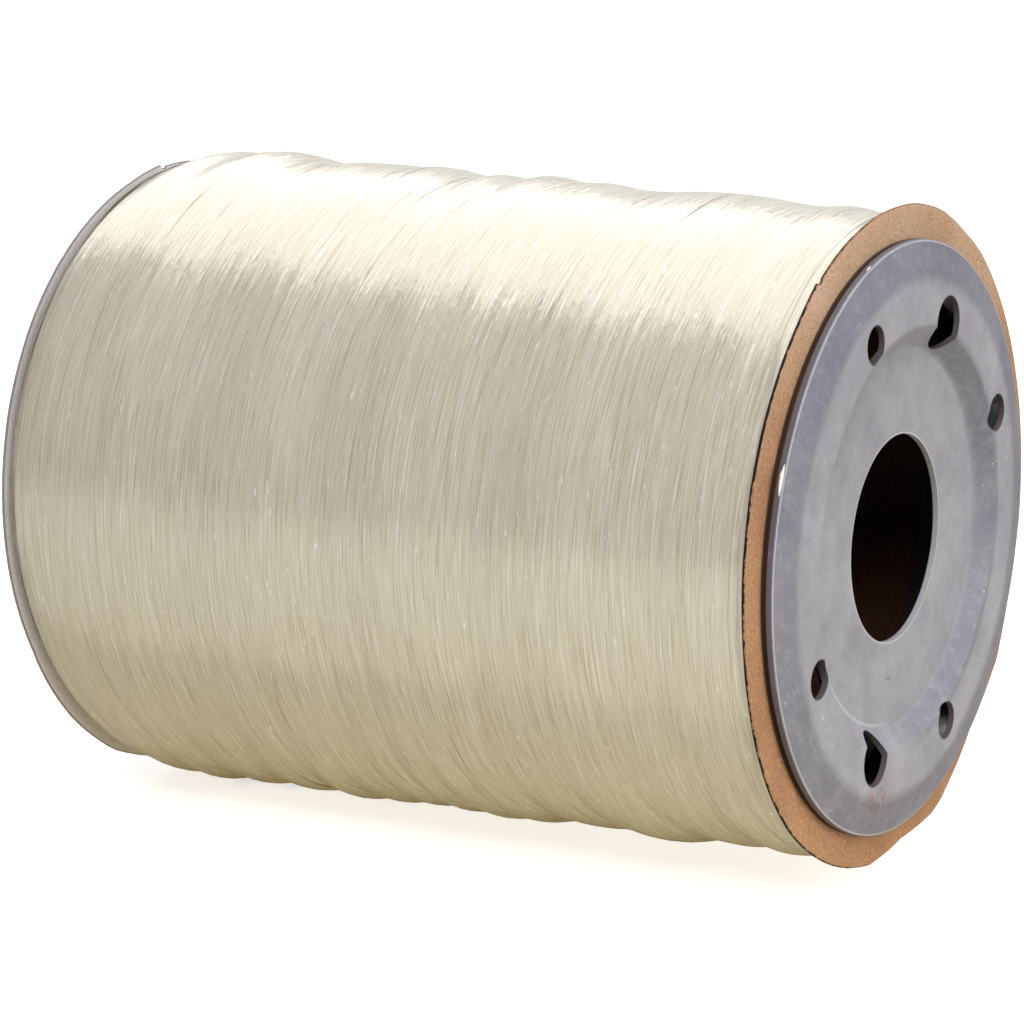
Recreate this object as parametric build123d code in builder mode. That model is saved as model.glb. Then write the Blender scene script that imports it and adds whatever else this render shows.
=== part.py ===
"""Bulk spool of fishing line.

A cardboard core tube carries two card flange discs and the wound line. A moulded plastic
cap plugs into each end of the core, holds its disc on, and gives the spindle bore.

The spool's axis is +X and its front end faces +X. The origin is the middle of the spool.
All sizes are in millimetres.
"""

import math
import os

from build123d import *

os.makedirs("parts", exist_ok=True)

# ---- driving dimensions -------------------------------------------------------------

spool_width = 215.0  # over the outer faces of the two card discs

core_bore_r = 63.5  # a five inch core
core_wall = 5.0

card_r = 82.4
card_thickness = 0.8
card_hole_gap = 0.05  # round the core tube

cap_r = 74.0
cap_wall = 1.5
cap_rim_height = 2.9  # top edge of the rim, above the card disc
seat_outer_r = 70.5  # ring under the flange that holds the card disc
ring_height = 4.8  # flat ring, above the card disc
ring_outer_r = 65.5
ring_inner_r = 52.9
recess_r = 47.4
recess_height = 0.3  # recessed plate, above the card disc
spindle_r = 26.0

spigot_gap = 0.05  # a push fit in the core
spigot_length = 20.0
spigot_lead_in = 0.8

rib_thickness = 1.4
rib_count = 8
rib_depth = 8.0

small_hole_r = 4.8
small_hole_circle_r = 57.0
small_hole_count = 4
large_hole_r = 6.75
large_hole_circle_r = 55.0
large_hole_count = 2
hole_start_deg = 25.0  # first small hole, from +Y towards +Z
hole_pitch_deg = 45.0  # from a small hole to its large neighbour

line_mid_r = 83.3
line_taper = 0.028  # how fast the winding narrows towards the front, mm per mm
line_swell = 0.45
line_swell_pitch = 46.0
line_end_drop = 1.6
line_end_reach = 7.0
line_points = 27

# ---- derived dimensions -------------------------------------------------------------

half_width = spool_width / 2
core_outer_r = core_bore_r + core_wall
spigot_outer_r = core_bore_r - spigot_gap
spigot_inner_r = spigot_outer_r - cap_wall
seat_inner_r = seat_outer_r - cap_wall
line_half_width = half_width - card_thickness
large_start_deg = hole_start_deg + hole_pitch_deg


def sleeve(inner_r, outer_r, x_start, x_end):
    """A plain tube on the spool's axis, drawn as its half section and turned."""
    with BuildSketch(Plane.XY) as section:
        with BuildLine():
            Polyline(
                (x_start, inner_r), (x_end, inner_r), (x_end, outer_r), (x_start, outer_r), close=True
            )
        make_face()
    revolve(section.sketch, axis=Axis.X)


# ---- core tube ----------------------------------------------------------------------

with BuildPart() as core_tube:
    sleeve(core_bore_r, core_outer_r, -half_width, half_width)

# ---- card flange discs --------------------------------------------------------------

with BuildPart() as front_card_disc:
    sleeve(core_outer_r + card_hole_gap, card_r, line_half_width, half_width)

with BuildPart() as rear_card_disc:
    add(front_card_disc.part, rotation=(0, 0, 180))

# ---- moulded end caps ---------------------------------------------------------------
# The section starts at the spindle bore, runs over the outside to the rim, and comes back
# under the flange, round its seat and along the inside of the shell and the spigot.

card_face = half_width
shell_underside = card_face + ring_height - cap_wall
spigot_end = card_face - spigot_length
recess_face = card_face + recess_height
flange_slope = (ring_height - cap_rim_height) / (cap_r - ring_outer_r)


def flange_underside(r):
    """Height of the underside of the sloping flange at radius r."""
    return card_face + cap_rim_height - cap_wall + flange_slope * (cap_r - r)


outside = [
    (recess_face, spindle_r),
    (recess_face, recess_r),
    (card_face + ring_height, ring_inner_r),
    (card_face + ring_height, ring_outer_r),
    (card_face + cap_rim_height, cap_r),
    (flange_underside(cap_r), cap_r),
]
outside_radii = [1.2, 1.2, 4.0, 0.5]

inside = [
    (flange_underside(cap_r), cap_r),
    (flange_underside(seat_outer_r), seat_outer_r),
    (card_face, seat_outer_r),
    (card_face, seat_inner_r),
    (flange_underside(seat_inner_r), seat_inner_r),
    (shell_underside, ring_outer_r),
    (shell_underside, spigot_outer_r),
    (spigot_end + spigot_lead_in, spigot_outer_r),
    (spigot_end, spigot_outer_r - spigot_lead_in),
    (spigot_end, spigot_inner_r),
    (shell_underside, spigot_inner_r),
    (shell_underside, ring_inner_r + cap_wall / 2),
    (recess_face - cap_wall, recess_r + cap_wall / 2),
    (recess_face - cap_wall, spindle_r),
    (recess_face, spindle_r),
]

# The ribs' edges lie in the middle of the shell's wall, so that they join it all along.
mid_wall = cap_wall / 2
inner_rib = [
    (recess_face - mid_wall, recess_r + mid_wall / 2),
    (shell_underside + mid_wall, ring_inner_r + mid_wall / 2),
    (shell_underside + mid_wall, spigot_inner_r + mid_wall),
    (card_face - rib_depth, spigot_inner_r + mid_wall),
    (card_face - rib_depth, spigot_inner_r - cap_wall),
]
outer_rib = [
    (card_face, spigot_outer_r - mid_wall),
    (shell_underside + mid_wall, spigot_outer_r - mid_wall),
    (shell_underside + mid_wall, ring_outer_r),
    (flange_underside(seat_inner_r) + mid_wall, seat_inner_r + mid_wall),
    (card_face, seat_inner_r + mid_wall),
]

with BuildPart() as front_end_cap:
    with BuildSketch(Plane.XY) as shell:
        with BuildLine():
            FilletPolyline(*outside, radius=outside_radii)
            Polyline(*inside)
        make_face()
    revolve(axis=Axis.X)

    for rib in range(rib_count):
        rib_angle = hole_start_deg + hole_pitch_deg * (rib + 0.5)
        with BuildSketch(Plane.XY.rotated((rib_angle, 0, 0))):
            with BuildLine():
                Polyline(*inner_rib, close=True)
            make_face()
            with BuildLine():
                Polyline(*outer_rib, close=True)
            make_face()
        extrude(amount=rib_thickness / 2, both=True)

    with BuildSketch(Plane.YZ.offset(card_face - rib_depth)):
        with PolarLocations(small_hole_circle_r, small_hole_count, start_angle=hole_start_deg):
            Circle(small_hole_r)
        with PolarLocations(large_hole_circle_r, large_hole_count, start_angle=large_start_deg):
            Circle(large_hole_r)
    extrude(amount=rib_depth + 2 * ring_height, mode=Mode.SUBTRACT)

# The rear cap is turned so that its holes line up with the front cap's.
with BuildPart() as rear_end_cap:
    add(front_end_cap.part, rotation=(2 * large_start_deg - 180, 0, 180))

# ---- wound line ---------------------------------------------------------------------


def line_r(x):
    """Outer radius of the winding: a taper with a slow swell, drawn in beside each disc."""
    end_distance = line_half_width - abs(x)
    drawn_in = line_end_drop * math.exp(-end_distance / line_end_reach)
    swell = line_swell * math.sin(2 * math.pi * x / line_swell_pitch)
    return line_mid_r - line_taper * x + swell - drawn_in


line_step = 2 * line_half_width / (line_points - 1)
line_stations = [line_step * i - line_half_width for i in range(line_points)]
line_outline = [(x, line_r(x)) for x in line_stations]

with BuildPart() as line_package:
    with BuildSketch(Plane.XY):
        with BuildLine():
            Spline(*line_outline)
            Polyline(
                line_outline[-1],
                (line_half_width, core_outer_r),
                (-line_half_width, core_outer_r),
                line_outline[0],
            )
        make_face()
    revolve(axis=Axis.X)

# ---- labels and files ---------------------------------------------------------------

pieces = {
    "core_tube": core_tube,
    "front_card_disc": front_card_disc,
    "rear_card_disc": rear_card_disc,
    "front_end_cap": front_end_cap,
    "rear_end_cap": rear_end_cap,
    "line_package": line_package,
}
for label, piece in pieces.items():
    piece.part.label = label
    export_step(piece.part, f"parts/{label}.step")
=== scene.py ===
"""Looks of the bulk spool of fishing line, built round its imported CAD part.

The end caps and the core tube are the CAD nodes with better materials. The card discs and the
winding are rebuilt: discs cut by hand with shears, and one continuous strand laid turn by turn.
The spool's axis is +X. Lengths inside the builders are in millimetres, scaled once at the end.
"""

import math

import bpy
import numpy as np
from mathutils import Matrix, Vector


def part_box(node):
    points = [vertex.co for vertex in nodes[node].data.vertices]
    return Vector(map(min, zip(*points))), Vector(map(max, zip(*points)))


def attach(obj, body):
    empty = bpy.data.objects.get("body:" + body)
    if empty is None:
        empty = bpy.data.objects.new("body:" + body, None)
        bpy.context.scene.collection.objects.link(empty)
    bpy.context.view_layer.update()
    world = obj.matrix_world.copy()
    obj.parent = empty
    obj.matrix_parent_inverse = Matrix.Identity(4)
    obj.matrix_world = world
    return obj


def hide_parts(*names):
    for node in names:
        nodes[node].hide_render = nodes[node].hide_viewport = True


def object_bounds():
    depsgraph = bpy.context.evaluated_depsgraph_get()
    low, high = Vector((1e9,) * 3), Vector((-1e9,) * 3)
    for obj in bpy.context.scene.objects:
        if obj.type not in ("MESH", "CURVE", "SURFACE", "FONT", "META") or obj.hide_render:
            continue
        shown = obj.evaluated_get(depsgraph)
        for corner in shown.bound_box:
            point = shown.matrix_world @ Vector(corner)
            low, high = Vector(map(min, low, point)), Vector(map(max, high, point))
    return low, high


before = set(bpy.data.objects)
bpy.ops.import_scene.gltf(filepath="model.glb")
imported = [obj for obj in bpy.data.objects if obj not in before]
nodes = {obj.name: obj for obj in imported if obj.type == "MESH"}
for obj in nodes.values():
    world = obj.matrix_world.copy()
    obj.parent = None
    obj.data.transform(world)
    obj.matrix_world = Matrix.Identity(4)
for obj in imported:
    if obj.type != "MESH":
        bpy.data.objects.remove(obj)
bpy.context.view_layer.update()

MM = 0.001
TURN = 2 * math.pi

_, line_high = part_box("line_package")
_, disc_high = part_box("front_card_disc")
_, core_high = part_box("core_tube")
_, cap_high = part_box("front_end_cap")
half_line = line_high.x / MM
disc_r = disc_high.z / MM
disc_face = disc_high.x / MM
core_r = core_high.z / MM
cap_r = cap_high.z / MM

# The caps' own features, in millimetres from the axis
rim_edge = disc_face + 2.6  # height of the front cap's rim
spindle_r = 26.0
plate_edge_r = 46.8
small_hole_r, small_hole_circle_r = 4.8, 57.0
large_hole_r, large_hole_circle_r = 6.75, 55.0
large_hole_turn = 70.0  # degrees, from +Y towards +Z; the small holes are half a right angle off


# ---- meshes ------------------------------------------------------------------------------


def mesh_piece(name, points, quads, others=()):
    """A smooth-shaded mesh object from points in millimetres, quads and any other faces."""
    mesh = bpy.data.meshes.new(name)
    quads = np.asarray(quads, np.int32).reshape(-1, 4)
    sizes = [4] * len(quads) + [len(face) for face in others]
    corners = np.concatenate([quads.ravel()] + [np.asarray(face, np.int32) for face in others])
    mesh.vertices.add(len(points))
    mesh.vertices.foreach_set("co", (np.asarray(points) * MM).astype(np.float32).ravel())
    mesh.loops.add(len(corners))
    mesh.loops.foreach_set("vertex_index", corners.astype(np.int32))
    mesh.polygons.add(len(sizes))
    starts = np.concatenate([[0], np.cumsum(sizes)[:-1]]).astype(np.int32)
    mesh.polygons.foreach_set("loop_start", starts)
    mesh.update(calc_edges=True)
    mesh.shade_smooth()
    piece = bpy.data.objects.new(name, mesh)
    bpy.context.scene.collection.objects.link(piece)
    return piece


def ring_quads(rows, columns, close_rows=True):
    """Quads over a grid of points whose columns close on themselves, and whose rows may."""
    last = rows if close_rows else rows - 1
    row = np.arange(last)[:, None]
    column = np.arange(columns)[None, :]
    next_row = (row + 1) % rows
    next_column = (column + 1) % columns
    corners = [
        row * columns + column,
        row * columns + next_column,
        next_row * columns + next_column,
        next_row * columns + column,
    ]
    return np.stack([np.broadcast_to(c, (last, columns)) for c in corners], -1).reshape(-1, 4)


def polar(x, r, angle):
    """Points at x along the spool, r from its axis, and angle from +Y towards +Z."""
    x, r, angle = np.broadcast_arrays(x, r, angle)
    return np.stack([x, r * np.cos(angle), r * np.sin(angle)], -1)


def waves(angle, seed, count, first=1, fall=1.0):
    """A smooth random curve round the spool: sines of whole numbers of periods, from -1 to 1."""
    random = np.random.default_rng(seed)
    total, weight = np.zeros_like(angle), 0.0
    for k in range(first, first + count):
        share = k ** -fall
        total = total + share * np.sin(k * angle + random.uniform(0, TURN))
        weight += share
    return total / weight


# ---- materials ---------------------------------------------------------------------------


class Look:
    """One node-based material, built with short calls. Its coordinates are in millimetres."""

    def __init__(self, name, **sockets):
        self.material = bpy.data.materials.new(name)
        self.material.use_nodes = True
        self.nodes = self.material.node_tree.nodes
        self.links = self.material.node_tree.links
        self.shader = self.nodes["Principled BSDF"]
        for socket, value in sockets.items():
            self.shader.inputs[socket.replace("_", " ")].default_value = value
        self.object = self.nodes.new("ShaderNodeTexCoord").outputs["Object"]
        self.place = self.vector("MULTIPLY", self.object, (1000, 1000, 1000))
        parts = self.nodes.new("ShaderNodeSeparateXYZ")
        self.links.new(self.place, parts.inputs[0])
        self.x, self.y, self.z = parts.outputs
        self.r = self.math(
            "SQRT", self.math("ADD", self.math("POWER", self.y, 2), self.math("POWER", self.z, 2))
        )

    def put(self, socket, value):
        if isinstance(value, bpy.types.NodeSocket):
            self.links.new(value, socket)
        else:
            socket.default_value = value

    def math(self, operation, *values, clamp=False):
        node = self.nodes.new("ShaderNodeMath")
        node.operation, node.use_clamp = operation, clamp
        for socket, value in zip(node.inputs, values):
            self.put(socket, value)
        return node.outputs[0]

    def vector(self, operation, *values):
        node = self.nodes.new("ShaderNodeVectorMath")
        node.operation = operation
        for socket, value in zip(node.inputs, values):
            self.put(socket, value)
        return node.outputs[0]

    def stretch(self, x, y, z):
        """The place, multiplied along each axis."""
        return self.vector("MULTIPLY", self.place, (x, y, z))

    def combine(self, x, y, z):
        node = self.nodes.new("ShaderNodeCombineXYZ")
        for socket, value in zip(node.inputs, (x, y, z)):
            self.put(socket, value)
        return node.outputs[0]

    def noise(self, vector, scale, detail=2.0, roughness=0.5):
        node = self.nodes.new("ShaderNodeTexNoise")
        self.put(node.inputs["Vector"], vector)
        for name, value in (("Scale", scale), ("Detail", detail), ("Roughness", roughness)):
            self.put(node.inputs[name], value)
        return node.outputs[0]

    def cells(self, vector, scale):
        """Distance to the nearest of scattered points."""
        node = self.nodes.new("ShaderNodeTexVoronoi")
        self.put(node.inputs["Vector"], vector)
        self.put(node.inputs["Scale"], scale)
        return node.outputs["Distance"]

    def band(self, value, low, high, out_low=0.0, out_high=1.0):
        """value, with its range from low to high spread over out_low to out_high."""
        node = self.nodes.new("ShaderNodeMapRange")
        node.interpolation_type = "SMOOTHSTEP"
        for socket, v in zip(node.inputs, (value, low, high, out_low, out_high)):
            self.put(socket, v)
        return node.outputs[0]

    def near(self, value, centre, width):
        """1 where value is at centre, falling to 0 at width from it."""
        return self.band(self.math("ABSOLUTE", self.math("SUBTRACT", value, centre)), width, 0.0)

    def times(self, *values):
        total = values[0]
        for value in values[1:]:
            total = self.math("MULTIPLY", total, value)
        return total

    def mix(self, share, low, high):
        node = self.nodes.new("ShaderNodeMix")
        node.data_type = "RGBA"
        for index, value in ((0, share), (6, low), (7, high)):
            self.put(node.inputs[index], value)
        return node.outputs[2]

    def attribute(self, name):
        node = self.nodes.new("ShaderNodeAttribute")
        node.attribute_name = name
        return node.outputs["Fac"]

    def finish(self, colour, roughness, height, distance, strength=1.0, normal=None):
        """Links the colour, roughness and bump. distance is the bump's full height, in mm."""
        bump = self.nodes.new("ShaderNodeBump")
        if normal:
            self.links.new(normal, bump.inputs["Normal"])
        bump.inputs["Strength"].default_value = strength
        bump.inputs["Distance"].default_value = distance * MM
        self.links.new(height, bump.inputs["Height"])
        self.links.new(bump.outputs[0], self.shader.inputs["Normal"])
        self.links.new(colour, self.shader.inputs["Base Color"])
        self.links.new(roughness, self.shader.inputs["Roughness"])
        return self.material


def tint(red, green, blue):
    """A colour as a monitor shows it, in the linear form that the nodes take."""
    return tuple(((c / 255 + 0.055) / 1.055) ** 2.4 for c in (red, green, blue)) + (1.0,)


def dress(piece, *materials):
    """Gives a piece these materials, in place of any that it has."""
    piece.data.materials.clear()
    for material in materials:
        piece.data.materials.append(material)


def cap_plastic():
    """Grey moulding: its sloping parts carry painted shade, darker than the parts that stand
    proud.
    """
    look = Look("cap_plastic_moulded", IOR=1.46)
    cloud = look.noise(look.place, 0.05, 5, 0.65)
    fine = look.noise(look.place, 0.9, 3, 0.6)
    # painted shade: the colour of the sloping parts is a darker copy of the face colour
    slope_painted_shade = look.mix(look.band(cloud, 0.3, 0.7), tint(101, 100, 111), tint(114, 113, 122))
    faces = look.mix(look.band(cloud, 0.3, 0.7), tint(133, 132, 139), tint(147, 146, 152))
    ring = look.times(look.band(look.r, 66.5, 62.5), look.band(look.r, 52.5, 55.5))
    plate = look.band(look.r, 49, 46)
    cone = look.times(look.band(look.r, 45, 48), look.band(look.r, 56, 53))
    # painted shade: towards the right the cone takes the darker colour of the sloping parts
    cone = look.times(cone, look.band(look.y, 28, -8))  # fading out to the right
    patchy = look.band(look.noise(look.place, 0.11, 4, 0.7), 0.25, 0.6, 0.55, 1.0)
    proud = look.math("ADD", look.math("ADD", ring, plate), cone, clamp=True)
    colour = look.mix(look.times(proud, patchy), slope_painted_shade, faces)
    mottle = look.band(look.noise(look.place, 0.32, 4, 0.75), 0.48, 0.66)
    colour = look.mix(look.times(mottle, 0.22), colour, tint(154, 151, 157))

    # moulding edges, painted paler as highlights: the rim, the spindle hole and, on the lower
    # left, the edge of the plate
    rim = look.near(look.r, cap_r - 0.4, 0.35)
    edge_highlight = look.math("ADD", rim, look.near(look.r, spindle_r + 0.2, 0.5))
    low_left = look.times(look.band(look.y, 6, -14), look.band(look.z, 6, -20), 0.8)
    edge_highlight = look.math("ADD", edge_highlight, look.times(look.near(look.r, plate_edge_r, 0.8), low_left))
    # painted highlight along these edges
    colour = look.mix(look.times(edge_highlight, 0.55), colour, tint(184, 183, 190))
    # painted shade on the side wall of the rim
    side = look.band(look.r, cap_r - 0.1, cap_r - 0.03)
    colour = look.mix(look.times(side, 0.7), colour, tint(70, 66, 74))

    # smudges and specks of white dust, gathered in patches
    where = look.band(look.noise(look.place, 0.055, 3, 0.6), 0.5, 0.62)
    smudge = look.band(look.noise(look.place, 0.7, 4, 0.75), 0.6, 0.7)
    dust = look.band(look.cells(look.place, 0.3), 0.085, 0.045)
    pale = look.math("MAXIMUM", look.times(smudge, where, 0.5), look.times(dust, where, 0.7))
    colour = look.mix(pale, colour, tint(214, 213, 217))

    # dark specks, a nick, and the grime below one of the large holes
    specks = look.band(look.cells(look.vector("ADD", look.place, (7, 3, 9)), 0.14), 0.045, 0.025)
    nick = look.times(look.near(look.y, -22.2, 0.5), look.near(look.z, 45.6, 1.4))
    grit = look.times(look.near(look.y, -2.6, 2.2), look.near(look.z, -35.4, 0.5))
    dark = look.math("MAXIMUM", specks, look.math("MAXIMUM", nick, grit))
    colour = look.mix(look.times(dark, 0.8), colour, tint(72, 60, 56))
    below = look.times(look.near(look.z, -63, 7), look.near(look.y, -17, 14))
    grime = look.times(below, look.band(look.noise(look.place, 0.6, 5, 0.75), 0.46, 0.58))
    slant = look.math("ADD", look.z, look.times(look.y, -0.12))
    scratch = look.times(look.near(slant, -65.4, 0.5), look.near(look.y, -10, 8))
    brown_darkening = look.math("MAXIMUM", look.times(grime, 0.75), look.times(scratch, 0.8))
    colour = look.mix(brown_darkening, colour, tint(112, 78, 58))

    # The walls of the holes, painted dark with shade. u runs through the large holes, and v across
    # them; the holes of each kind fall together once the signs of u and v are dropped.
    cosine, sine = math.cos(math.radians(large_hole_turn)), math.sin(math.radians(large_hole_turn))
    u = look.math("ADD", look.times(look.y, cosine), look.times(look.z, sine))
    v = look.math("SUBTRACT", look.times(look.z, cosine), look.times(look.y, sine))
    u, v = look.math("ABSOLUTE", u), look.math("ABSOLUTE", v)
    small_hole_side = small_hole_circle_r / math.sqrt(2)
    for centre_u, centre_v, size in (
        (small_hole_side, small_hole_side, small_hole_r),
        (large_hole_circle_r, 0.0, large_hole_r),
    ):
        off_u = look.math("POWER", look.math("SUBTRACT", u, centre_u), 2)
        off_v = look.math("POWER", look.math("SUBTRACT", v, centre_v), 2)
        from_centre = look.math("SQRT", look.math("ADD", off_u, off_v))
        # painted shade on each hole's wall
        hole_wall_shade = look.band(from_centre, size + 0.3, size)
        colour = look.mix(look.times(hole_wall_shade, 0.85), colour, tint(62, 52, 56))

    # behind the plate the moulding is painted near black, as shade
    depth = look.math("ABSOLUTE", look.x)
    inside = look.band(depth, disc_face - 0.8, disc_face - 1.6)
    colour = look.mix(look.times(inside, 0.92), colour, tint(20, 17, 17))

    scuff = look.noise(look.stretch(1, 1.1, 0.8), 1.3, 4, 0.65)
    rough = look.math("ADD", look.band(scuff, 0.3, 0.7, 0.40, 0.56), look.times(pale, 0.2))
    height = look.math("ADD", look.times(fine, 0.35), look.times(scuff, 0.65))
    return look.finish(colour, rough, height, 0.05, 0.5)


def core_board():
    """Brown board, wound in a spiral with a dark seam. Its brown is painted dark, as shade inside
    the bore.
    """
    look = Look("core_board_spiral", IOR=1.4)
    angle = look.math("ARCTAN2", look.z, look.y)
    seam_pitch = 96  # mm along the tube, each turn
    run = look.math("ADD", look.times(look.x, 1 / seam_pitch), look.times(angle, 1 / TURN))
    ply = look.math("FRACT", run)
    fibre = look.noise(look.stretch(0.6, 0.25, 0.25), 1.6, 4, 0.65)
    # painted shade: both browns are far darker than bare board
    colour = look.mix(look.band(fibre, 0.3, 0.7), tint(54, 34, 26), tint(74, 48, 36))
    seam = look.near(ply, 0.5, 0.012)
    colour = look.mix(look.times(seam, 0.8), colour, tint(28, 17, 12))
    height = look.math("SUBTRACT", look.times(fibre, 0.4), seam)
    return look.finish(colour, look.band(fibre, 0.2, 0.8, 0.75, 0.92), height, 0.15, 0.7)


def kraft_card():
    """The outer liner: fibrous kraft paper, paler towards the top, with a painted shadow under the
    cap's rim.
    """
    look = Look("kraft_card_outside", IOR=1.4)
    cloud = look.noise(look.place, 0.05, 4, 0.6)
    fibre = look.noise(look.stretch(1, 0.5, 1.4), 1.5, 5, 0.7)
    fleck = look.noise(look.place, 1.7, 4, 0.65)
    colour = look.mix(look.band(cloud, 0.3, 0.7), tint(143, 103, 73), tint(160, 119, 85))
    # paler and less saturated towards the top
    paler_at_top = look.times(look.band(look.z, 20, 80), look.band(cloud, 0.2, 0.6, 0.6, 1.0))
    colour = look.mix(look.times(paler_at_top, 0.8), colour, tint(177, 151, 124))
    pale = look.times(look.near(look.y, -46, 12), look.near(look.z, 68, 14))
    colour = look.mix(look.times(pale, 0.5), colour, tint(196, 166, 150))
    colour = look.mix(look.band(fibre, 0.45, 0.65, 0, 0.5), colour, tint(132, 92, 66))
    colour = look.mix(look.band(fleck, 0.5, 0.7, 0, 0.6), colour, tint(200, 160, 120))
    colour = look.mix(look.band(fleck, 0.47, 0.3, 0, 0.6), colour, tint(118, 80, 56))
    # painted shadow: a dark brown ring just inside the cap's edge, under its rim
    outer_side = look.band(look.r, cap_r + 0.2, cap_r - 0.3)
    brown_darkening = look.times(outer_side, look.band(look.r, cap_r - 3, cap_r - 1.5))
    colour = look.mix(look.times(brown_darkening, 0.85), colour, tint(54, 34, 26))
    height = look.math("ADD", look.times(fibre, 0.6), look.times(fleck, 0.4))
    return look.finish(colour, look.band(fibre, 0.2, 0.8, 0.72, 0.9), height, 0.12, 0.8)


def card_inside():
    """The inner liner: plain grey board."""
    look = Look("card_inside_grey", IOR=1.4)
    fibre = look.noise(look.stretch(1, 0.6, 1.3), 1.3, 5, 0.7)
    colour = look.mix(look.band(fibre, 0.35, 0.7), tint(188, 184, 186), tint(206, 202, 204))
    return look.finish(colour, look.band(fibre, 0.2, 0.8, 0.75, 0.9), fibre, 0.1, 0.5)


def card_edge(name, dark, light):
    """The cut edge: light at the outer liner, and ragged and near black next to the winding."""
    look = Look(name, IOR=1.4)
    ragged = look.noise(look.place, 0.5, 4, 0.7)
    depth = look.math("SUBTRACT", look.math("ABSOLUTE", look.x), half_line)
    torn = look.math("ADD", depth, look.band(ragged, 0.3, 0.7, -0.3, 0.3))
    colour = look.mix(look.band(torn, 0.62, 0.72), dark, light)
    return look.finish(colour, look.band(ragged, 0, 1, 0.7, 0.95), ragged, 0.3)


def line_strand():
    """Clear line, for the strand and the sleeve: its sides are lit almost like its crest.

    The attribute run is the way along the strand in millimetres, and tone varies slowly with it.
    """
    look = Look("line_nylon_strand", IOR=1.5, Metallic=0.14)
    run = look.attribute("run")
    slow = look.noise(look.combine(look.times(run, 0.03), 0.0, 0.0), 1.0, 3, 0.6)
    tone = look.attribute("tone")
    colour = look.mix(look.band(slow, 0.3, 0.7), tint(185, 179, 160), tint(193, 188, 172))
    colour = look.mix(look.band(tone, 0.0, 1.0, 0.0, 0.5), colour, tint(190, 184, 175))
    along_and_across = look.combine(look.times(look.x, 2.9), look.times(run, 0.04), 0.0)
    streak = look.noise(along_and_across, 1.0, 3, 0.6)
    colour = look.mix(look.band(streak, 0.5, 0.34, 0, 0.62), colour, tint(152, 144, 122))
    colour = look.mix(look.band(streak, 0.54, 0.7, 0, 0.8), colour, tint(214, 211, 206))
    quick = look.noise(look.combine(look.times(run, 0.13), 7.0, 0.0), 1.0, 2)
    colour = look.mix(look.band(quick, 0.62, 0.72, 0, 0.9), colour, tint(216, 214, 210))
    ripple = look.noise(look.combine(look.times(run, 0.15), 3.0, 0.0), 1.0, 2)
    bend = look.noise(look.combine(look.times(run, 0.022), 5.0, 0.0), 1.0, 1)
    ripple = look.math("ADD", ripple, look.times(bend, 9.0))
    outward = look.vector("NORMALIZE", look.combine(0.0, look.y, look.z))
    facing = look.nodes.new("ShaderNodeNewGeometry").outputs["Normal"]
    facing = look.vector("MULTIPLY", facing, (0.7, 0.7, 0.7))
    outward = look.vector("MULTIPLY", outward, (0.3, 0.3, 0.3))
    eased = look.vector("NORMALIZE", look.vector("ADD", facing, outward))
    return look.finish(colour, look.band(streak, 0.3, 0.7, 0.2, 0.26), ripple, 0.5, 0.85, eased)


# ---- winding -----------------------------------------------------------------------------

strand_half_width = 0.46
strand_half_height = 0.1  # what stands out of the strands it is pressed into
strand_sides = 4
strand_pieces = 8
turn_steps = 96
step_run = 5.4  # mm of line in each step
winding_r = 83.0  # near enough, for the sleeve's own run
traverses = 44
slowest_traverse, fastest_traverse = 4.0, 12.0  # mm along the spool, each turn
disc_gap = 0.25  # between the strand and a disc, at the end of a traverse


def wound_r(x, angle):
    """Radius of the finished winding: a taper with the low ridges that its traverses leave."""
    from_end = half_line - np.abs(x)
    from_rear = half_line + x
    mid_r, taper = 83.3, 0.028
    r = mid_r - taper * x + 0.45 * np.sin(TURN * x / 46) - 1.6 * np.exp(-from_end / 7)
    r = r - 6.6 * np.exp(-from_rear / 2.5)  # slack beside the rear disc
    drift = 0.5 * np.sin(angle + 0.9) + 0.35 * np.sin(2 * angle - 1.1 + x / 40)
    drift = drift + 0.4 * np.sin(x / 17)
    ridge = np.abs(np.cos(math.pi * (x / 13.5 + drift)))
    swell = np.cos(TURN * (x / 21 + drift))
    broad = np.sin(TURN * x / 39 + 1.7 * np.sin(angle + 0.4))
    sag = -0.8 * np.sin(angle) * (0.5 - x / (2 * half_line))
    below = np.clip(-np.sin(angle + 0.2), 0, 1) ** 4  # the winding hangs in loose ridges there
    above = np.clip(np.sin(angle - 0.1), 0, 1) ** 12
    low_left = np.clip(-np.sin(angle + 0.5), 0, 1) ** 1.5
    r = r - 4.0 * low_left * np.exp(-from_rear / 9)  # drawn in, clear of the rear disc's inside
    return r + 1.5 * below * (ridge - 0.64) + (0.12 + 0.4 * above) * swell + 0.25 * broad + sag


def smooth(values, width):
    """The running mean over about width values, with the ends held."""
    held = np.concatenate([np.full(width, values[0]), values, np.full(width, values[-1])])
    return np.convolve(held, np.ones(width) / width, "same")[width:-width]


def wander(count, width, seed):
    """A smooth random walk along the strand, with a spread of 1."""
    values = np.random.default_rng(seed).normal(0, 1, count)
    values = smooth(smooth(values, width), width)
    return values / values.std()


def strand_path():
    """Where the strand is along the spool at each step: to and fro, never quite evenly."""
    random = np.random.default_rng(11)
    reach = half_line - strand_half_width - disc_gap
    legs = []
    for leg in range(traverses):
        pitch = random.uniform(slowest_traverse, fastest_traverse)
        steps = int(2 * reach / pitch * turn_steps)
        way = 1 if leg % 2 else -1
        legs.append(way * np.linspace(-reach, reach - 2 * reach / steps, steps))
    path = np.concatenate(legs)
    path = path + 0.4 * wander(len(path), 24, 12) + 0.12 * wander(len(path), 6, 13)
    return np.clip(smooth(path, turn_steps // 4), -reach, reach)


def give(piece, name, values):
    """One number for each point of the mesh, for its material to read."""
    layer = piece.data.attributes.new(name, "FLOAT", "POINT")
    layer.data.foreach_set("value", values.astype(np.float32))


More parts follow.
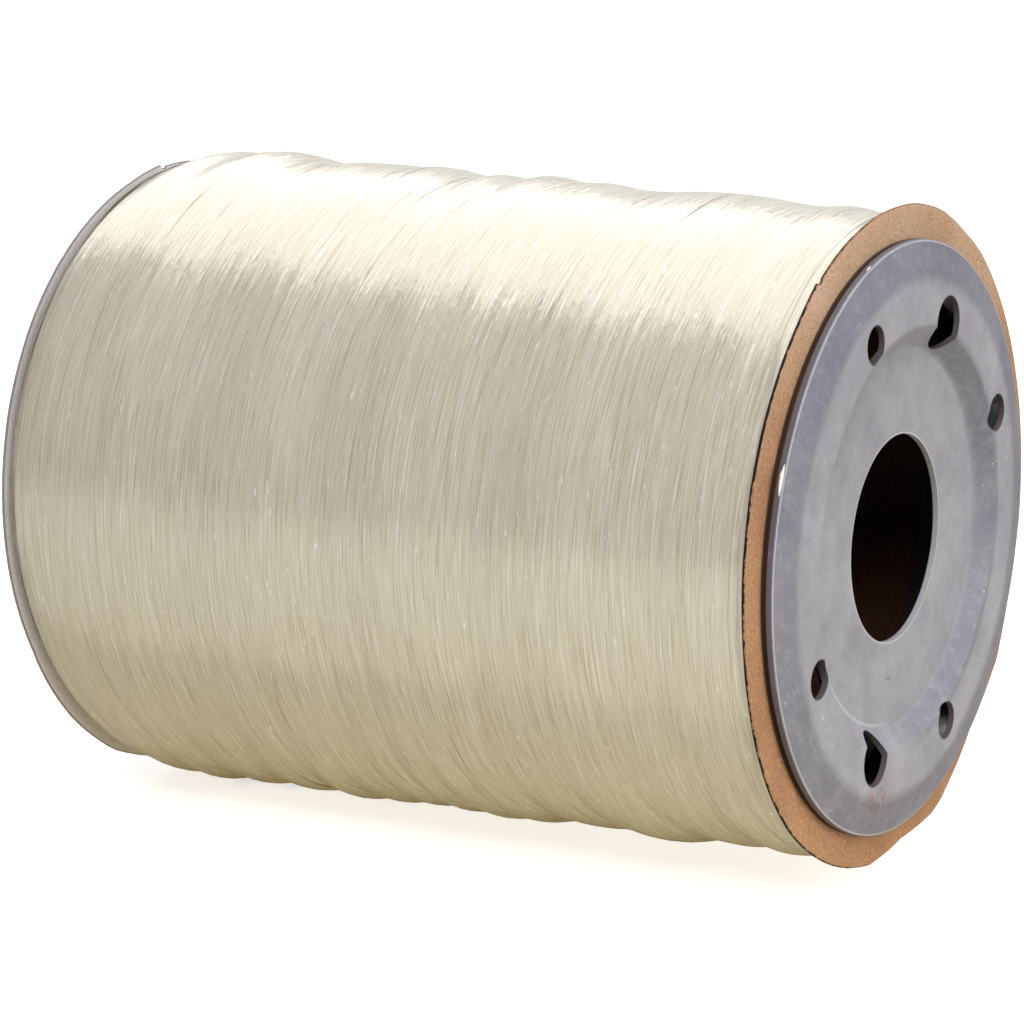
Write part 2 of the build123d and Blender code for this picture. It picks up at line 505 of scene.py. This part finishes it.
def build_strands(material):
    """The one strand of the last layers, in pieces that follow on from each other."""
    path = strand_path()
    count = len(path)
    angle = np.arange(count) * TURN / turn_steps
    r = wound_r(path, angle) + 0.03 * wander(count, 12, 3) + 0.01 * wander(count, 4, 4)
    slope = (wound_r(path + 0.3, angle) - wound_r(path - 0.3, angle)) / 0.6
    from_end = half_line - np.abs(path)
    r = r - 1.1 * np.exp(-from_end / 2.5) * np.abs(wander(count, 40, 6))  # uneven at both discs
    r = r + 1.6 * np.exp(-(half_line + path) / 2.0) * wander(count, 6, 7)  # and more at the rear
    tuck_steps, tuck_depth = 12.0, 3.0  # each end of the strand dives under its neighbours
    dive = np.minimum(np.arange(count), np.arange(count)[::-1]) / tuck_steps
    r = r - tuck_depth * (1 - np.clip(dive, 0, 1)) ** 2
    tone = np.clip(0.5 + 0.25 * wander(count, 60, 5), 0, 1)
    around = np.arange(strand_sides) * TURN / strand_sides
    across, out = strand_half_width * np.sin(around), strand_half_height * np.cos(around)
    pieces = []
    for piece in range(strand_pieces):
        start = count * piece // strand_pieces
        stop = min(count * (piece + 1) // strand_pieces + 1, count)
        steps = stop - start
        points = polar(
            path[start:stop, None] + across,
            r[start:stop, None] + out + across * slope[start:stop, None],
            angle[start:stop, None],
        )
        first_end = np.arange(strand_sides)[::-1]
        last_end = np.arange(strand_sides) + strand_sides * (steps - 1)
        strand = mesh_piece(
            f"line_strand_{piece + 1}",
            points.reshape(-1, 3),
            ring_quads(steps, strand_sides, False)[:, ::-1],
            [first_end, last_end],
        )
        strand.data.set_sharp_from_angle(angle=math.radians(60))  # its thin edges would shade dark
        give(strand, "tone", tone[start:stop].repeat(strand_sides))
        give(strand, "run", (np.arange(start, stop) * step_run).repeat(strand_sides))
        dress(strand, material)
        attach(strand, "spool_body")
        pieces.append(strand)
    return pieces


def build_packed_line(material):
    """The winding below its last layers: a closed sleeve on the core."""
    steps, stations = turn_steps, 150
    angle = (np.arange(steps) * TURN / steps)[:, None]
    x = np.linspace(-half_line, half_line, stations)[None, :]
    sunk = 0.045 + 1.4 * np.exp(-(half_line - np.abs(x)) / 2.5)  # below the strand over it
    outer = polar(x, wound_r(x, angle) - sunk, angle)
    inner = polar(x[:, ::-1], core_r, angle)
    section = np.concatenate([outer, inner], 1)
    packed = mesh_piece("line_packed", section.reshape(-1, 3), ring_quads(steps, 2 * stations))
    give(packed, "tone", np.full(steps * 2 * stations, 0.5))
    there_and_back = np.concatenate([x, x[:, ::-1]], 1)
    give(packed, "run", (angle * winding_r + there_and_back * 3).ravel())
    dress(packed, material)
    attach(packed, "spool_body")


# ---- card discs --------------------------------------------------------------------------

card_steps = 720


def cut_outline(angle, seed, snips):
    """A disc's radius all round, cut by hand: facets, wobble and straight snips.

    Each snip is an angle and a half width in degrees, and a depth in mm. Below 0 it bulges.
    """
    r = disc_r + 0.35 * waves(angle, seed, 6, 2, 0.5) + 0.22 * waves(angle, seed + 1, 30, 8, 0.2)
    for at, half_width, depth in snips:
        off = (angle - math.radians(at) + math.pi) % TURN - math.pi
        share = np.clip(1 - np.abs(off) / math.radians(half_width), 0, 1)
        r = r - depth * share**0.8
    return r


def card_disc(name, node, end, seed, snips, step, materials):
    """A disc of card with its hand-cut edge, in place of its CAD node.

    end is +1 at the front and -1 at the rear. step is the angle where one cut overran the other.
    materials are those of the outside, the cut edge and the inside.
    """
    angle = np.arange(card_steps) * TURN / card_steps
    outer = cut_outline(angle, seed, snips)
    off = np.degrees((angle - math.radians(step) + math.pi) % TURN - math.pi)
    outer = outer + 0.6 * np.clip(1 - off / 9, 0, 1) * (off >= 0) - 0.5 * (np.abs(off + 1) < 1)
    thickness = disc_face - half_line
    hole = core_r + 0.05  # clear of the core tube
    shares = np.linspace(0, 1, 9)
    radii = hole + (outer[:, None] - 0.25 - hole) * shares
    warp = 0.35 * waves(angle, seed + 2, 3, 2, 0.5)[:, None] * shares**2
    ragged = 0.1 * waves(angle, seed + 3, 60, 20, 0.1)[:, None]
    outside = polar(end * (disc_face - 0.02 + warp), radii, angle[:, None])
    edge_x = half_line + thickness * np.array([0.86, 0.5, 0.14]) + warp[:, -1:]
    edge_r = outer[:, None] + np.array([0.0, 0.06, -0.04]) + ragged
    edge = polar(end * edge_x, edge_r, angle[:, None])
    inside = polar(end * (half_line + 0.02 + warp[:, ::-1]), radii[:, ::-1], angle[:, None])
    section = np.concatenate([outside, edge, inside], 1)
    columns = section.shape[1]
    quads = ring_quads(card_steps, columns)
    quads = quads if end > 0 else quads[:, ::-1]
    disc = mesh_piece(name, section.reshape(-1, 3), quads)
    dress(disc, *materials)
    part = np.tile(np.arange(columns), card_steps)
    on_outside, on_edge = part < len(shares) - 1, part < len(shares) + 3
    face_material = np.where(on_outside, 0, np.where(on_edge, 1, 2)).astype(np.int32)
    disc.data.polygons.foreach_set("material_index", face_material)
    disc.data.shade_smooth()
    disc.data.set_sharp_from_angle(angle=math.radians(35))
    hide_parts(node)
    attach(disc, "spool_body")


# ---- mould flash -------------------------------------------------------------------------


def flash_chip(name, at, length, width, seed, material):
    """A torn sliver of white flash on the front cap's rim. at is its angle in degrees."""
    random = np.random.default_rng(seed)
    steps, sides = 12, 6
    share = np.linspace(0, 1, steps)[:, None]
    thick = width * np.sin(math.pi * (0.06 + 0.88 * share)) * random.uniform(0.65, 1.0, (steps, 1))
    ring = np.arange(sides) * TURN / sides
    angle = math.radians(at) + length / cap_r * (share - 0.5) + 0.3 * thick * np.cos(ring) / cap_r
    r = cap_r - 0.15 + thick * (0.55 * np.cos(ring) + 0.5) + random.uniform(0, 0.12, (steps, 1))
    x = rim_edge - 0.1 + thick * 0.5 * np.sin(ring)
    chip = mesh_piece(
        name,
        polar(x, r, angle).reshape(-1, 3),
        ring_quads(steps, sides, False),
        [np.arange(sides), np.arange(sides)[::-1] + sides * (steps - 1)],
    )
    dress(chip, material)
    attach(chip, "front_cap")


def flash_white():
    """The torn plastic of the flash, whiter than the moulding."""
    look = Look("cap_flash_torn", IOR=1.46, Subsurface_Weight=0.3, Subsurface_Scale=0.001)
    torn = look.noise(look.place, 2.5, 4, 0.7)
    colour = look.mix(look.band(torn, 0.35, 0.65), tint(196, 194, 198), tint(240, 238, 240))
    return look.finish(colour, look.band(torn, 0.2, 0.8, 0.4, 0.6), torn, 0.2, 0.8)


# ---- build -------------------------------------------------------------------------------

cap_material = cap_plastic()
dress(nodes["front_end_cap"], cap_material)
dress(nodes["rear_end_cap"], cap_material)
dress(nodes["core_tube"], core_board())

flash = flash_white()
flash_chip("cap_flash_long", at=159, length=7.5, width=1.1, seed=41, material=flash)
flash_chip("cap_flash_short", at=109, length=3.0, width=0.45, seed=43, material=flash)

kraft, grey = kraft_card(), card_inside()
black_edge = card_edge("card_edge_dark", tint(12, 9, 8), tint(140, 100, 72))
brown_edge = card_edge("card_edge_brown", tint(132, 124, 120), tint(178, 168, 162))
card_disc(
    "front_card",
    "front_card_disc",
    end=1,
    seed=21,
    snips=[(-50, 16, 2.6), (-84, 13, 2.4), (-20, 12, 1.0), (62, 10, 0.6)],
    step=124,
    materials=(kraft, black_edge, grey),
)
card_disc(
    "rear_card",
    "rear_card_disc",
    end=-1,
    seed=31,
    snips=[(87, 1.6, 0.9), (-60, 16, 1.4), (-116, 34, -2.6)],
    step=98,
    materials=(kraft, brown_edge, grey),
)

nylon = line_strand()
build_packed_line(nylon)
strands = build_strands(nylon)
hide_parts("line_package")

# ---- camera, light and floor -------------------------------------------------------------

# The camera is turned from +Y towards -X, and looks down.
azimuth, drop = math.radians(30.75), math.radians(11.71)
distance, shift_across, shift_up = 0.8801, 0.00229, 0.00476
across = Vector((math.cos(azimuth), math.sin(azimuth), 0))
level_forward = Vector((-math.sin(azimuth), math.cos(azimuth), 0))
forward = level_forward * math.cos(drop) - Vector((0, 0, math.sin(drop)))
upward = across.cross(forward)

camera = bpy.data.objects.new("camera", bpy.data.cameras.new("camera"))
camera.data.lens = 117.4
camera.data.sensor_width = 36
camera.location = -(shift_across * across + shift_up * upward + distance * forward)
camera.rotation_euler = (math.pi / 2 - drop, 0, azimuth)
bpy.context.scene.collection.objects.link(camera)
bpy.context.scene.camera = camera

floor_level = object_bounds()[0].z


def from_view(sideways, onward, height):
    """A place in metres: across the camera's view, along it on the level, and up."""
    return across * sideways + level_forward * onward + Vector((0, 0, height))


def soft_light(name, place, aim, width, height, power, colour=(1, 1, 1)):
    """A rectangular area light that the camera does not see."""
    light = bpy.data.lights.new(name, "AREA")
    light.shape, light.size, light.size_y = "RECTANGLE", width, height
    light.energy, light.color = power, colour
    lamp = bpy.data.objects.new(name, light)
    lamp.location = place
    lamp.rotation_euler = (Vector(aim) - Vector(place)).to_track_quat("-Z", "Y").to_euler()
    lamp.visible_camera = False
    bpy.context.scene.collection.objects.link(lamp)
    return lamp


# Three lights only show as reflections: a long softbox above, the backdrop, and the table in
# front, just over the floor. Five only light the spool. The one at the side does both.
glow_x, glow_y = -0.25, 0.83
glow = soft_light(
    "softbox", (glow_x, glow_y, 1.6), (glow_x, glow_y, 0), 5.0, 2.4, 130, (1, 0.985, 0.93)
)
glow.rotation_euler = (0, 0, math.radians(-23))
above = soft_light("above", from_view(0, 1.5, 1.6), from_view(0, 1.5, 0), 5.0, 3.0, 84)
behind = soft_light("behind", from_view(0, 5.5, 1.6), from_view(0, 5.5, 0), 6.0, 5.0, 150)
key = soft_light("key", from_view(0, -2.0, 2.2), (0, 0, 0), 2.0, 2.0, 102)
under_place = Vector((0, -0.03, floor_level + 0.0015))
straight_up = Vector((0, 0, 1))
under = soft_light(
    "under", under_place, under_place + straight_up, 0.5, 0.3, 0.26, (1, 0.8, 0.4)
)
fill = soft_light(
    "fill", (0.1, -0.24, -0.07), (0.03, -0.06, -0.04), 0.16, 0.1, 0.07, (1, 0.96, 0.88)
)
backdrop = soft_light("backdrop", from_view(0, 3.5, 1.0), (0, 0, 0), 7.0, 2.4, 45)
table_place = Vector((-0.3, -0.53, floor_level + 0.001))
table = soft_light("table", table_place, table_place + straight_up, 3.0, 0.84, 4.7)
soft_light("side", from_view(2.2, -0.9, 0.6), (0.1, 0, 0), 1.4, 1.4, 36, (0.95, 0.98, 1))
for lamp in (glow, backdrop, table):
    lamp.visible_diffuse = False
for lamp in (above, behind, key, under, fill):
    lamp.visible_glossy = False

world = bpy.data.worlds.new("studio")
bpy.context.scene.world = world
world.use_nodes = True
dim_air = world.node_tree.nodes["Background"]
dim_air.inputs["Color"].default_value = (1.0, 0.985, 0.96, 1)
dim_air.inputs["Strength"].default_value = 0.02


def paper(name, dark, light):
    """Plain paper for the floor, mottled between two linear colours."""
    look = Look(name, IOR=1.3)
    grain = look.noise(look.place, 0.01, 2)
    rough = look.band(grain, 0, 1, 0.75, 0.85)
    return look.finish(look.mix(grain, dark, light), rough, grain, 0.01)


def lay_floor(name, z, material):
    """A sheet 40 m across, at the height z in metres."""
    bpy.ops.mesh.primitive_plane_add(size=40, location=(0, 0, z))
    sheet = bpy.context.object
    sheet.name = name
    dress(sheet, material)
    return sheet


# The camera sees a floor that gives off light, so that it is white with a faint shadow. The
# spool gets its bounced light from a plain, warmer one just below, which the camera doesn't see.
lit_paper = paper("floor_paper", (0.8, 0.79, 0.76, 1), (0.82, 0.81, 0.78, 1))
lit_shader = lit_paper.node_tree.nodes["Principled BSDF"]
lit_shader.inputs["Emission Color"].default_value = (1, 1, 1, 1)
lit_shader.inputs["Emission Strength"].default_value = 0.7
warm_paper = paper("floor_warm", (0.49, 0.465, 0.405, 1), (0.51, 0.485, 0.425, 1))

seen_floor = lay_floor("floor_seen", floor_level - 0.0002, lit_paper)
seen_floor.visible_diffuse = seen_floor.visible_glossy = seen_floor.visible_shadow = False
floor = lay_floor("floor", floor_level - 0.0004, warm_paper)
floor.visible_camera = False

bpy.context.scene.view_settings.view_transform = "Standard"
bpy.context.scene.view_settings.look = "None"
